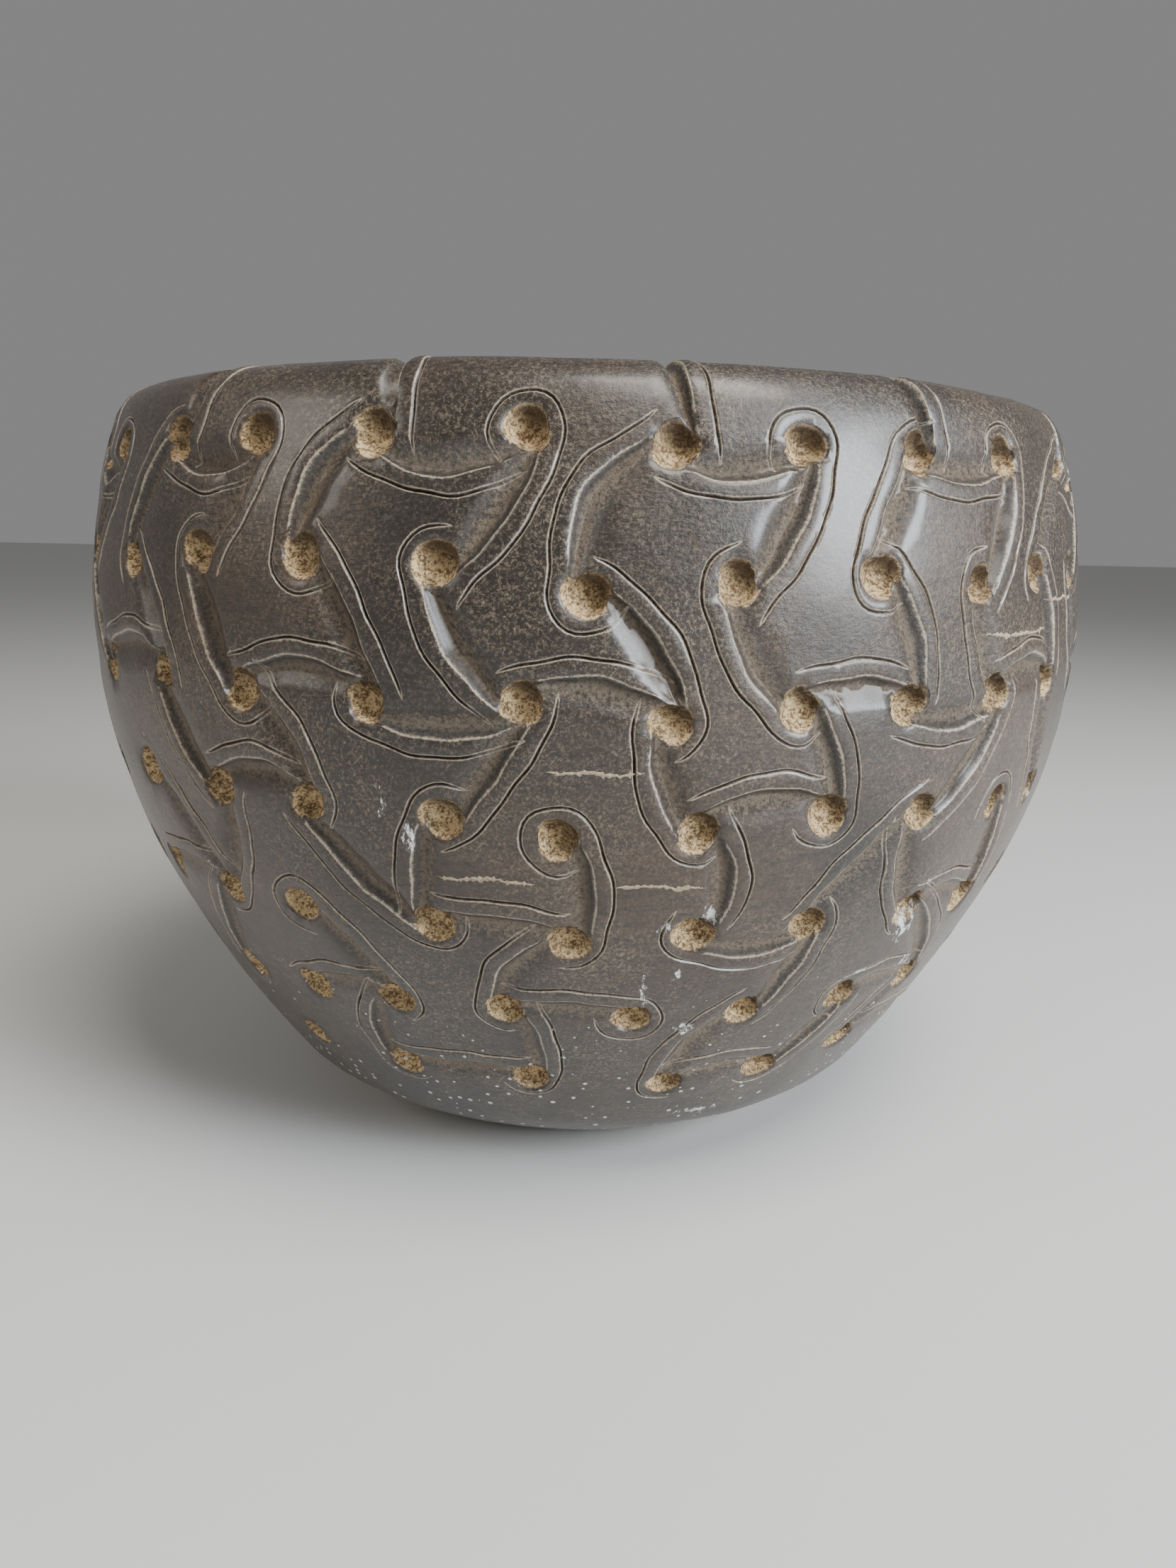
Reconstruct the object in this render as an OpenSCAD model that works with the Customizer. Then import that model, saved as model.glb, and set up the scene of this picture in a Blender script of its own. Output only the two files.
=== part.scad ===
// Round-bodied wooden bowl cut from one block, with rows of gouged pits round its outside.
// Millimetres, +Z up. The origin is the centre of the flat base, on the surface that it stands on.
// A bearing is in degrees round the bowl from its front, which faces -Y, towards +X.

/* [Outside] */
// Radius of the flat base
base_r = 71; // [62:1:76]
// Length of the straight flare above the base
foot_len = 31; // [26:1:36]
// Slope of that flare above the level
foot_slope = 30; // [26:1:36]
// Radius of the turn from the flare into the side
knuckle_r = 28; // [20:1:40]
// Radius of the long lower side
flank_r = 390; // [370:1:410]
// Radius of the belly and the shoulder
belly_r = 182; // [176:1:188]
// Radius of the rounded outer corner of the rim
corner_r = 12; // [10:1:14]

/* [Hollow] */
// Thickness of the wall at the belly
wall = 17; // [14:1:19]
// Width of the flat along the top of the rim
lip_flat = 2.5; // [1:0.5:4]
// Radius of the rounded inner corner of the rim
lip_r = 5; // [4:0.5:6]
// Radius of the turn from the side of the hollow into its floor
heel_r = 84; // [74:1:94]

/* [Pits] */
// Width of a pit at its mouth
pit_d = 10; // [7:0.5:11]
// Depth of a pit
pit_depth = 4.6; // [3:0.2:5]

/* [Drying checks] */
// Height of the filled crack at the surface
check_h = 1.2; // [0.8:0.1:2]
// Depth of the filled crack
check_depth = 2; // [1.2:0.2:3]
// How far each length of a crack steps up or down from the last
check_step = 0.7; // [0.3:0.1:0.7]

/* [Hidden] */
$fn = 180;

// Headings of the outside line, where one curve hands over to the next
knuckle_end = 54;
flank_end = 64;
belly_end = 108;
level_in = 180;
// Headings of the line of the hollow, on its way down from the rim and in to the middle
lip_end = 288;
hollow_belly_end = 180 + flank_end;
hollow_flank_end = 238;
heel_end = 190;
// Greatest distance between a curve and the short straight lines that draw it
chord_error = 0.1;
// How far a cutting shape stands proud of the surface that it cuts
proud = 0.5;
// Bearing, clear of every pit, where the turned faces of the bowl close on themselves
seam_bearing = 62.7;
// Turn of each pit's ball about its own pole, so that its seam lies along none of the bowl's edges
ball_turn = 37;
// Height of a crack at its root, as a share of its height at the surface
root_share = 0.5;
// How far each length of a crack runs on into the next, as a multiple of the length
overlap = 1.1;

// The carving repeats in three equal sectors.
// Each row holds the height and the bearing of each of its pits in one sector.
sectors = 3;
PIT_ROWS = [
    [[208, -54], [209, -41], [209, -30], [209, -18], [210, -5],
        [207, 7], [208, 18], [208, 30], [209, 42], [209, 57]],
    [[180, -48], [182, -36], [182, -24], [181, -12], [175, 0],
        [178, 12], [180, 25], [178, 37], [181, 47], [181, 58]],
    [[152, -42], [150, -31], [150, -18], [151, -5], [147, 7],
        [150, 18], [150, 29], [151, 41], [152, 52], [151, 65]],
    [[124, -49], [124, -36], [124, -25], [123, -12], [119, -2],
        [121, 10], [124, 22], [122, 33], [120, 46], [120, 56]],
    [[93, -53], [93, -40], [94, -29], [94, -14], [91, -1],
        [93, 11], [93, 23], [92, 37], [90, 48], [93, 58]],
    [[63, -46], [65, -33], [67, -21], [68, -8], [66, 6], [66, 19], [65, 33], [63, 47], [65, 60]],
    [[41, -41], [41, -24], [42, -6], [39, 12], [41, 26], [44, 40], [42, 60]],
];

// Each filled crack: its height, the bearing where it starts and the bearings that it spans
CHECKS = [
    [108, -13, 9],
    [107, 3, 8],
    [136, -3, 8],
    [166, 38, 12],
    [174, 50, 9],
    [115, 118, 14],
    [162, 205, 12],
    [88, 262, 11],
];
// The steps that a crack takes, length by length.
// No two in a row are level, so that no two walls lie on each other.
WANDER = [0, 1, 0, -1, -2, -1, 0];

// Points along a chain of curves that runs on from point p and heading a.
// Each leg is a radius and an end heading.
function walk(p, a, legs, i = 0) =
    i == len(legs) ? [] :
    let (
        r = legs[i][0],
        b = legs[i][1],
        side = sign(b - a),
        n = ceil(abs(b - a) / (2 * acos(1 - chord_error / r))),
        centre = p + side * r * [-sin(a), cos(a)],
        pts = [for (k = [1:n]) let (t = a + (b - a) * k / n) centre + side * r * [sin(t), -cos(t)]]
    )
    concat(pts, walk(pts[n - 1], b, legs, i + 1));

foot_top = [base_r + foot_len * cos(foot_slope), foot_len * sin(foot_slope)];
outside = concat(
    [[base_r, 0], foot_top],
    walk(foot_top, foot_slope,
        [[knuckle_r, knuckle_end], [flank_r, flank_end], [belly_r, belly_end], [corner_r, level_in]])
);
rim_top = outside[len(outside) - 1];
lip_top = rim_top - [lip_flat, 0];
hollow_side = walk(lip_top, level_in, [
    [lip_r, lip_end],
    [belly_r - wall, hollow_belly_end],
    [flank_r - wall, hollow_flank_end],
    [heel_r, heel_end],
]);
floor_edge = hollow_side[len(hollow_side) - 1];
// The floor is a shallow dish whose curve reaches the middle just as it comes level
dish_r = floor_edge[0] / sin(heel_end - level_in);
hollow = concat([lip_top], hollow_side, walk(floor_edge, heel_end, [[dish_r, level_in]]));

// Radius of the outside at height z, and the slope of its line there
OUTSIDE_BY_HEIGHT = [for (p = outside) [p[1], p[0]]];
function outer_r(z) = lookup(z, OUTSIDE_BY_HEIGHT);
function heading_at(z) = atan2(2, outer_r(z + 1) - outer_r(z - 1));

// A ball whose cap makes a pit of the right width and depth
pit_ball_r = (pow(pit_d / 2, 2) + pow(pit_depth, 2)) / (2 * pit_depth);

module blank() {
    rotate([0, 0, seam_bearing - 90])
        rotate_extrude()
            polygon(concat([[0, 0]], outside, hollow));
}

// The ball's pole points straight out of the wood
module pit(z, bearing) {
    heading = heading_at(z);
    rise = pit_ball_r - pit_depth;
    rotate([0, 0, bearing - 90])
        translate([outer_r(z) + rise * sin(heading), 0, z - rise * cos(heading)])
            rotate([0, heading, 0])
                rotate([0, 0, ball_turn])
                    sphere(r = pit_ball_r, $fn = 48);
}

module pit_row(row) {
    for (sector = [0:sectors - 1], place = row)
        pit(place[0], place[1] + sector * 360 / sectors);
}

// The blank with its rows of pits, cut one row after another from the rim down
module pitted_blank(rows_cut = len(PIT_ROWS)) {
    if (rows_cut == 0)
        blank();
    else
        difference() {
            pitted_blank(rows_cut - 1);
            pit_row(PIT_ROWS[rows_cut - 1]);
        }
}

// One level length of a crack: a wedge in section, standing out of the surface by the given distance
module crack_length(z, bearing, span, out) {
    rotate([0, 0, bearing - 90])
        rotate_extrude(angle = span)
            polygon([
                [outer_r(z) - check_depth, z - root_share * check_h / 2],
                [outer_r(z - check_h / 2) + out, z - check_h / 2],
                [outer_r(z + check_h / 2) + out, z + check_h / 2],
                [outer_r(z) - check_depth, z + root_share * check_h / 2],
            ]);
}

module cracks(out) {
    for (check = CHECKS) {
        span = check[2] / len(WANDER);
        for (i = [0:len(WANDER) - 1])
            crack_length(check[0] + check_step * WANDER[i], check[1] + i * span, span * overlap, out);
    }
}

// The bowl itself: one piece of wood, hollowed, pitted and cracked
module bowl_body() {
    color([0.24, 0.19, 0.16])
        difference() {
            pitted_blank();
            cracks(proud);
        }
}

// Pale filling that has settled in the drying checks, level with the wood
module check_filler() {
    color([0.66, 0.58, 0.46])
        difference() {
            cracks(0);
            for (row = PIT_ROWS)
                pit_row(row);
        }
}

bowl_body();
check_filler();
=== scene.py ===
"""Builds a round-bodied wooden bowl around its frame, with rows of gouged pits joined by carved arms."""

import itertools
import math

import bmesh
import bpy
import numpy as np
from mathutils import Matrix, Vector
from mathutils.geometry import delaunay_2d_cdt


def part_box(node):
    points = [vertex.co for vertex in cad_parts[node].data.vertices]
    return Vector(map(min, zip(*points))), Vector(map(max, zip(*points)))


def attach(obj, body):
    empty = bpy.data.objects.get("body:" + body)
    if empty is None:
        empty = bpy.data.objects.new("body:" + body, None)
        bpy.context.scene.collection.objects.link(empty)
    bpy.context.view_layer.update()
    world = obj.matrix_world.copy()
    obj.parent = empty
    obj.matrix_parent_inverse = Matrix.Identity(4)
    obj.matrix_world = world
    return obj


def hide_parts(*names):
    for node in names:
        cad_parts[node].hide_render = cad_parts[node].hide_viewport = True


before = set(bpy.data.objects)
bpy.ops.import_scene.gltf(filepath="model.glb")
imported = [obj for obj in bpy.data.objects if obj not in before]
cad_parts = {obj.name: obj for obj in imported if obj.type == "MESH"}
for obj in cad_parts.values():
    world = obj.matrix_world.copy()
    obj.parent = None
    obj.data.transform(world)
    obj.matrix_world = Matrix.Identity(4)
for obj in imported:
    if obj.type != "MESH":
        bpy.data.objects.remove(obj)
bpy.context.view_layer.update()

bl_info = {
    "name": "Carved Wooden Bowl",
    "version": (1, 0, 0),
    "blender": (4, 5, 0),
    "location": "View3D > Sidebar > Carved Bowl",
    "description": "Builds a wooden bowl with gouged pits, carved arms and filled drying cracks",
    "category": "Add Mesh",
}

# The carving is worked out in millimetres, and its points are turned into metres when the meshes are made.
MM = 0.001
LOW, HIGH = (Vector(corner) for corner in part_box("bowl_body"))
TURN = 2 * math.pi

# Headings of the bowl's section line, in degrees: where one curve hands over to the next, from the base edge
# up over the rim and down to the floor of the hollow.
KNUCKLE_END, FLANK_END, BELLY_END, LEVEL_IN, LIP_END = 54, 64, 108, 180, 288
HOLLOW_BELLY_END, HOLLOW_FLANK_END, HEEL_END = 244, 238, 190

# The carving repeats in three sectors. Each row of pits has a letter, and the height and bearing of its pits in
# one sector, in millimetres and in degrees from the front of the bowl. Pits are called A1, A2 and so on.
SECTORS = 3
PIT_ROWS = {
    "A": [(208, -54), (209, -41), (209, -30), (209, -18), (210, -5),
          (207, 7), (208, 18), (208, 30), (209, 42), (209, 57)],
    "B": [(180, -48), (182, -36), (182, -24), (181, -12), (175, 0),
          (178, 12), (180, 25), (178, 37), (181, 47), (181, 58)],
    "C": [(152, -42), (150, -31), (150, -18), (151, -5), (147, 7),
          (150, 18), (150, 29), (151, 41), (152, 52), (151, 65)],
    "D": [(124, -49), (124, -36), (124, -25), (123, -12), (119, -2),
          (121, 10), (124, 22), (122, 33), (120, 46), (120, 56)],
    "E": [(93, -53), (93, -40), (94, -29), (94, -14), (91, -1),
          (93, 11), (93, 23), (92, 37), (90, 48), (93, 58)],
    "F": [(63, -46), (65, -33), (67, -21), (68, -8), (66, 6), (66, 19), (65, 33), (63, 47), (65, 60)],
    "G": [(41, -41), (41, -24), (42, -6), (39, 12), (41, 26), (44, 40), (42, 60)],
}
ARM_DEPTH = {"A": 3.0, "B": 3.0, "C": 2.6, "D": 2.2, "E": 1.7, "F": 1.4, "G": 1.2}

# One carved arm each: first pit, second pit, the side of travel that its fine line lies on, how far the line
# bows out (mm), and how many degrees the line turns round the first and the second pit. Where that is less than
# nothing, the line runs straight on past the pit instead, by so many millimetres.
# A pit's number past the end of its row belongs to the next sector.
ARMS = [
    ("A2", "A3", "R", 5, 45, 0), ("A4", "A5", "R", 6, 55, 0), ("A6", "A7", "R", 3.5, 40, 0),
    ("A8", "A9", "R", 2.5, 35, 0), ("A10", "A11", "R", 5, 35, 0),
    ("A3", "B2", "L", 1.5, 250, 10), ("A5", "B4", "L", 3.5, 270, -6), ("A7", "B6", "L", 3, 250, -6),
    ("A9", "B8", "L", 2.5, 240, -4), ("A11", "B10", "L", 2, 250, 10),
    ("A2", "B1", "R", 2, 60, 90), ("A4", "B3", "R", 5, 35, 190), ("A6", "B5", "R", 8, 35, 200),
    ("A8", "B7", "R", 0.5, 100, 170), ("A10", "B9", "R", 2, 60, 100),
    ("B2", "C2", "R", 2, 130, 150), ("B4", "C4", "R", 4, 150, 10), ("B6", "C6", "R", 3, 130, 110),
    ("B8", "C8", "R", 2, 130, 40), ("B10", "C10", "R", 2, 60, 10),
    ("B1", "C1", "L", 2, 40, 60), ("B3", "C3", "L", 1.5, 40, -4), ("B5", "C5", "L", 3.5, 50, 120),
    ("B7", "C7", "L", 3, 70, -4), ("B9", "C9", "L", 2, 30, 30),
    ("C2", "C3", "L", 5, 40, 0), ("C4", "C5", "L", 4, 50, 0), ("C6", "C7", "L", 3, 20, 0),
    ("C8", "C9", "L", 4, 20, 0), ("C10", "C11", "L", 5, 20, 0),
    ("C3", "C4", "R", 4, 120, 10), ("C7", "C8", "R", 3, 40, 0),
    ("C1", "D2", "R", 2, 30, 30), ("C2", "D3", "L", 3.5, 30, 90), ("C4", "D4", "L", 0.5, 55, 65),
    ("C5", "D6", "R", 3, 60, 115), ("C6", "D7", "L", 2, 10, 190), ("C8", "D8", "L", 4, 60, 35),
    ("C9", "D10", "R", 2, 30, 30),
    ("D2", "D3", "L", 5, 20, 0), ("D6", "D7", "L", 5, 20, 0),
    ("D1", "E2", "L", 2, 60, 0), ("D2", "E2", "L", 3, 20, 100), ("D3", "E4", "R", 2, 20, 160),
    ("D4", "E4", "R", 2, 125, 0), ("D5", "E5", "L", 3.5, 300, 115), ("D6", "E6", "L", 5, 40, 0),
    ("D8", "E7", "R", 2, 50, 25), ("D8", "E8", "R", 4, 20, 60), ("D9", "E9", "L", 2, 200, 10),
    ("E1", "E2", "L", 3, 20, 0), ("E4", "E5", "L", 1.5, 10, 0), ("E8", "E9", "L", 3, 20, 0),
    ("E6", "E7", "R", 4, 150, 0),
    ("E2", "F1", "R", 3, 30, 30), ("E3", "F3", "L", 2, 250, 110), ("E5", "F4", "R", 4, 0, 140),
    ("E7", "F6", "L", 2, 80, 40), ("E8", "F8", "L", 3, 40, 0),
    ("F2", "F3", "L", 3, 60, 0), ("F4", "F5", "L", 1, 10, 270), ("F7", "F8", "L", 3, 200, 0),
    ("F3", "G2", "R", 5, 40, 160), ("F4", "G3", "L", 2, 20, 170), ("F6", "G4", "R", 4, 60, 140),
    ("F7", "G5", "L", 2, 20, 120), ("F8", "G6", "R", 2, 20, 40),
    ("G2", "G3", "L", 1.5, 20, 10), ("G4", "G5", "L", 4, 20, 10), ("G6", "G7", "L", 3, 20, 10),
]
# The grooves that run up over the rim: the pit that each starts from and how far it leans sideways (mm)
RIM_GROOVES = [("A2", 9), ("A4", 0), ("A6", -4), ("A8", -3), ("A10", 3)]

# Each filled crack: its height, the bearing where it starts and the bearings that it spans
CRACKS = [
    (108, -13, 9), (107, 3, 8), (136, -3, 8), (166, 38, 12),
    (174, 50, 9), (115, 118, 14), (162, 205, 12), (88, 262, 11),
]

# Each smear of white paint: its height and bearing, and how far it spreads up and down and sideways (mm)
SMEARS = [
    (128, -17, 9, 4), (118, -15, 6, 3), (96, 8, 3, 4), (98, 12, 5, 5), (76, 7, 12, 3), (80, 10, 9, 2),
    (86, 38, 9, 7), (72, 42, 5, 5), (62, 12, 4, 7), (24, 20, 3, 14), (90, 150, 8, 4), (70, 230, 7, 5),
]


# --- sizes and colours

def length(name, default, description):
    return bpy.props.FloatProperty(name=name, description=description, default=default, min=0.0001,
                                   unit="LENGTH", subtype="DISTANCE", precision=4)


def colour(name, default, description):
    return bpy.props.FloatVectorProperty(name=name, description=description, default=default, size=3,
                                         min=0.0, max=1.0, subtype="COLOR")


def share(name, default, description):
    return bpy.props.FloatProperty(name=name, description=description, default=default, min=0.0, max=1.0,
                                   subtype="FACTOR")


class BowlShape(bpy.types.PropertyGroup):
    """The section that the bowl was cut to"""
    base_r: length("Base radius", 0.071, "Radius of the flat base")
    base_round: length("Base edge", 0.003, "Radius of the worn edge of the base")
    foot_len: length("Flare length", 0.031, "Length of the straight flare above the base")
    foot_slope: bpy.props.FloatProperty(name="Flare slope", description="Slope of the flare above the level",
                                        default=math.radians(30), unit="ROTATION", subtype="ANGLE")
    knuckle_r: length("Knuckle radius", 0.028, "Radius of the turn from the flare into the side")
    flank_r: length("Flank radius", 0.390, "Radius of the long lower side")
    belly_r: length("Belly radius", 0.182, "Radius of the belly and the shoulder")
    corner_r: length("Rim corner", 0.012, "Radius of the rounded outer corner of the rim")
    wall: length("Wall", 0.017, "Thickness of the wall at the belly")
    lip_flat: length("Rim flat", 0.0025, "Width of the flat along the top of the rim")
    lip_r: length("Lip radius", 0.005, "Radius of the rounded inner corner of the rim")
    heel_r: length("Heel radius", 0.084, "Radius of the turn into the floor of the hollow")


class BowlCarving(bpy.types.PropertyGroup):
    """The cuts on the outside of the bowl"""
    pit_width: length("Pit width", 0.010, "Width of a pit at its mouth")
    pit_depth: length("Pit depth", 0.0047, "Depth of a pit")
    arm_width: length("Arm width", 0.009, "Width of the slanted cut between two pits")
    band_width: length("Band width", 0.0042, "Width of the raised band between the cut and its fine line")
    line_width: length("Line width", 0.0010, "Width of the fine V-cut line")
    line_depth: length("Line depth", 0.0006, "Depth of the fine V-cut line")
    crack_width: length("Crack width", 0.0007, "Height of the filled drying cracks at the surface")
    seed: bpy.props.IntProperty(name="Hand", description="Seed of the small unevenness of hand work", default=7)


class BowlFinish(bpy.types.PropertyGroup):
    """The colours of the wood and of what has settled in it"""
    dark_wood: colour("Dark wood", (0.016, 0.012, 0.009), "Burnished wood where it is darkest")
    warm_wood: colour("Warm wood", (0.054, 0.032, 0.019), "Burnished wood where it is brownest")
    grey_wood: colour("Grey wood", (0.021, 0.018, 0.015), "Dry grey wood low on the bowl")
    raw_wood: colour("Raw wood", (0.600, 0.440, 0.240), "Torn fibres in the pits")
    deep_wood: colour("Deep wood", (0.120, 0.070, 0.030), "Dark flecks between the torn fibres")
    rubbed_wood: colour("Rubbed wood", (0.330, 0.250, 0.170), "Wood rubbed pale along the cut edges")
    dust: colour("Dust", (0.460, 0.385, 0.285), "Dry dust in the cuts and specks on the wood")
    paint: colour("White specks", (0.700, 0.710, 0.700), "Old specks and smears of white paint")
    crack_fill: colour("Crack fill", (0.430, 0.340, 0.230), "Pale filling of the drying cracks")
    burnish: share("Roughness", 0.38, "Roughness of the burnished wood")
    polish: share("Polish", 0.5, "Strength of the hand polish over the wood")


class BowlStage(bpy.types.PropertyGroup):
    """The floor, the lights and the camera"""
    floor: colour("Floor", (0.62, 0.615, 0.60), "Colour of the floor")
    key_power: bpy.props.FloatProperty(name="Key light", description="Power of the main light", default=38.0,
                                       min=0.0, unit="POWER")
    lens: bpy.props.FloatProperty(name="Lens", description="Focal length of the camera", default=26.0,
                                  min=1.0, unit="CAMERA", subtype="DISTANCE_CAMERA")


# --- section line

def interpolated(x, known_x, *known):
    return [np.interp(x, known_x, y) for y in known]


class SectionLine:
    """A chain of lines and arcs in radius and height, sampled finely. Its rise is the length along it
    divided by the radius, so that bearing and rise together map the turned surface with no skew."""

    STEP = 0.25

    def __init__(self, point, heading):
        self.r, self.z, self.heading = [point[0]], [point[1]], [heading]

    def straight(self, distance):
        a = math.radians(self.heading[-1])
        count = max(2, math.ceil(distance / self.STEP))
        r0, z0 = self.r[-1], self.z[-1]
        for i in range(1, count + 1):
            self.r.append(r0 + distance * i / count * math.cos(a))
            self.z.append(z0 + distance * i / count * math.sin(a))
            self.heading.append(self.heading[-1])
        return self

    def arc(self, radius, end):
        a, b = math.radians(self.heading[-1]), math.radians(end)
        side = math.copysign(1, b - a)
        count = max(8, math.ceil(radius * abs(b - a) / self.STEP))
        r0, z0 = self.r[-1] - side * radius * math.sin(a), self.z[-1] + side * radius * math.cos(a)
        for i in range(1, count + 1):
            t = a + (b - a) * i / count
            self.r.append(r0 + side * radius * math.sin(t))
            self.z.append(z0 - side * radius * math.cos(t))
            self.heading.append(math.degrees(t))
        return self

    def done(self):
        self.r, self.z = np.array(self.r), np.array(self.z)
        self.heading = np.radians(self.heading)
        steps = np.hypot(np.diff(self.r), np.diff(self.z))
        self.s = np.concatenate([[0], np.cumsum(steps)])
        self.rise = np.concatenate([[0], np.cumsum(steps * 2 / (self.r[1:] + self.r[:-1]))])
        return self

    def at_rise(self, rise):
        """Radius, height and heading at the given rise."""
        return interpolated(rise, self.rise, self.r, self.z, self.heading)

    def rise_at_height(self, z):
        top = int(np.argmax(self.z))
        return float(np.interp(z, self.z[:top], self.rise[:top]))

    def surface(self, bearing, rise, depth=0.0):
        """Points that lie the given depth under the turned surface."""
        r, z, heading = self.at_rise(rise)
        r, z = r - depth * np.sin(heading), z + depth * np.cos(heading)
        return np.stack([r * np.cos(bearing), r * np.sin(bearing), z], axis=-1)


def outside_line(shape):
    """The section from the flat base, up the outside, over the rim and round its inner corner."""
    mm = {name: getattr(shape, name) / MM for name in BowlShape.__annotations__ if name != "foot_slope"}
    slope = math.degrees(shape.foot_slope)
    cut_off = mm["base_round"] * math.tan(math.radians(slope / 2))
    line = SectionLine((mm["base_r"] - cut_off, 0.0), 0.0)
    line.arc(mm["base_round"], slope).straight(mm["foot_len"] - cut_off)
    for radius, end in ((mm["knuckle_r"], KNUCKLE_END), (mm["flank_r"], FLANK_END),
                        (mm["belly_r"], BELLY_END), (mm["corner_r"], LEVEL_IN)):
        line.arc(radius, end)
    return line.straight(mm["lip_flat"]).arc(mm["lip_r"], LIP_END).done()


def hollow_line(shape, outside):
    """The section of the hollow, from the inner corner of the rim to the middle of the floor."""
    wall = shape.wall / MM
    line = SectionLine((float(outside.r[-1]), float(outside.z[-1])), LIP_END)
    line.arc(shape.belly_r / MM - wall, HOLLOW_BELLY_END).arc(shape.flank_r / MM - wall, HOLLOW_FLANK_END)
    line.arc(shape.heel_r / MM, HEEL_END)
    dish_r = line.r[-1] / math.sin(math.radians(HEEL_END - LEVEL_IN))
    return line.arc(dish_r, LEVEL_IN)


# --- hand unevenness

class Ripple:
    """Smooth, seeded unevenness of about the given size across, between -1 and 1."""

    WAVES = 12

    def __init__(self, rng, size):
        direction = rng.normal(size=(self.WAVES, 3))
        direction /= np.linalg.norm(direction, axis=1)[:, None]
        self.k = direction * (TURN / size) * rng.uniform(0.7, 1.4, self.WAVES)[:, None]
        self.phase = rng.uniform(0, TURN, self.WAVES)

    def __call__(self, points):
        return np.sin(points @ self.k.T + self.phase).mean(axis=1) * math.sqrt(self.WAVES) / 2


def smoothstep(x, low, high):
    t = np.clip((x - low) / (high - low), 0, 1)
    return t * t * (3 - 2 * t)


# --- pits and arms

def near(bearing, rise, centre, reach):
    """Which places lie within reach (in bearing and rise) of a centre, and their offsets from it."""
    across = (bearing - centre[0] + math.pi) % TURN - math.pi
    up = rise - centre[1]
    found = np.nonzero((np.abs(across) < reach) & (np.abs(up) < reach))[0]
    return found, across[found], up[found]


class Pit:
    """One gouged pit: a bowl-shaped cut, a little out of round."""

    RINGS = ((0.25, 6), (0.5, 10), (0.72, 14), (0.88, 18), (0.97, 20), (1.0, 20), (1.18, 20))
    ROUGH = 0.35
    # The side of a pit that gets painted shade: its wall up and to the right, seen from outside, is given a
    # darker wood tone where the key light leaves it in shadow
    DARK_SIDE = math.radians(65)
    # How much the hand varies the width and the depth, how far a pit leans, and how far it is out of round
    WIDTHS, DEPTHS, LEANS = (0.94, 1.08), (0.88, 1.08), (-0.1, 0.1)
    OVAL, THREE_SIDED = 0.05, 0.03

    def __init__(self, line, bearing, rise, width, depth, rng):
        self.centre = (bearing, rise)
        self.scale = float(line.at_rise(rise)[0])
        self.radius = width / 2 * rng.uniform(*self.WIDTHS)
        self.depth = depth * rng.uniform(*self.DEPTHS)
        self.phases = rng.uniform(0, TURN, 2)
        self.tilt = rng.uniform(*self.LEANS, 2)

    def rim(self, angle):
        p, q = self.phases
        oval, three_sided = self.OVAL * np.sin(2 * angle + p), self.THREE_SIDED * np.sin(3 * angle + q)
        return self.radius * (1 + oval + three_sided)

    def place(self, angle, fraction):
        reach = self.rim(angle) * fraction / self.scale
        return np.stack([self.centre[0] + reach * np.cos(angle), self.centre[1] + reach * np.sin(angle)], -1)

    def cut(self, bearing, rise, carved):
        found, across, up = near(bearing, rise, self.centre, 1.6 * self.radius / self.scale)
        angle = np.arctan2(up, across)
        x = np.hypot(across, up) * self.scale / self.rim(angle)
        bowl = np.sqrt(np.clip(1 - x * x, 0, 1))
        lean = 1 + self.tilt[0] * x * np.cos(angle) + self.tilt[1] * x * np.sin(angle)
        depth = self.depth * bowl * lean + self.ROUGH * bowl * carved.fibre[found]
        deeper = (x < 1) & (depth > carved.depth[found])
        carved.depth[found] = np.where(deeper, depth, carved.depth[found])
        carved.pit[found] = np.maximum(carved.pit[found], np.where(deeper, smoothstep(bowl, 0.0, 0.35), 0))
        # Painted shade: the wall on that side of the pit is marked for a darker tone
        painted_shade = smoothstep(x * np.cos(angle - self.DARK_SIDE), -0.15, 0.8)
        carved.under[found] = np.maximum(carved.under[found], np.where(deeper, painted_shade, 0))
        carved.edge[found] = np.maximum(carved.edge[found], 0.35 - np.clip(np.abs(x - 1) / 0.4, 0, 0.35))


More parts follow.
